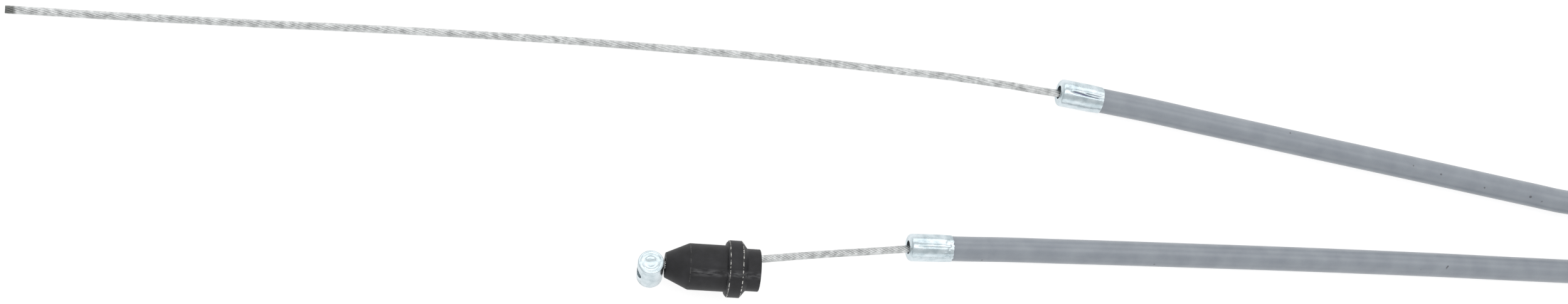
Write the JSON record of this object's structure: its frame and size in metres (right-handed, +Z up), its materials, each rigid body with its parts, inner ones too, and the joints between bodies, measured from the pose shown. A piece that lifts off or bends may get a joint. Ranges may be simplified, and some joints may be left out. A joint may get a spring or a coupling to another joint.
{
  "type": "gear shift cable",
  "caption": "Bowden shift cable: grey housing with crimped ferrules, stranded inner wire bare at one end, barrel nipple and loose black cap at the other.",
  "frame": {"origin": "on the surface the cable lies on, under the middle of the box of its end fittings (ferrules, nipple and cap)", "axes": "+X from the nipple end towards the coil of housing, +Y towards the bare tail, +Z up"},
  "size_m": [0.4053, 0.0808, 0.0114],
  "materials": {
    "galvanised_wire": "bright galvanised strand",
    "zinc_plate": "bright blue-white zinc plate",
    "solder": "dull grey solder",
    "grey_jacket": "satin grey extruded sheath",
    "black_moulding": "matte black moulding with worn edges"
  },
  "bodies": {
    "root": {"inner_wire_tail": "galvanised_wire", "inner_wire_nipple_end": "galvanised_wire", "upper_ferrule": "zinc_plate", "lower_ferrule": "zinc_plate", "housing_upper_run": "grey_jacket", "housing_coil": "grey_jacket", "housing_lower_run": "grey_jacket", "loose_cap": "black_moulding", "barrel_nipple": "zinc_plate", "solder_plug": "solder"}
  },
  "joints": []
}
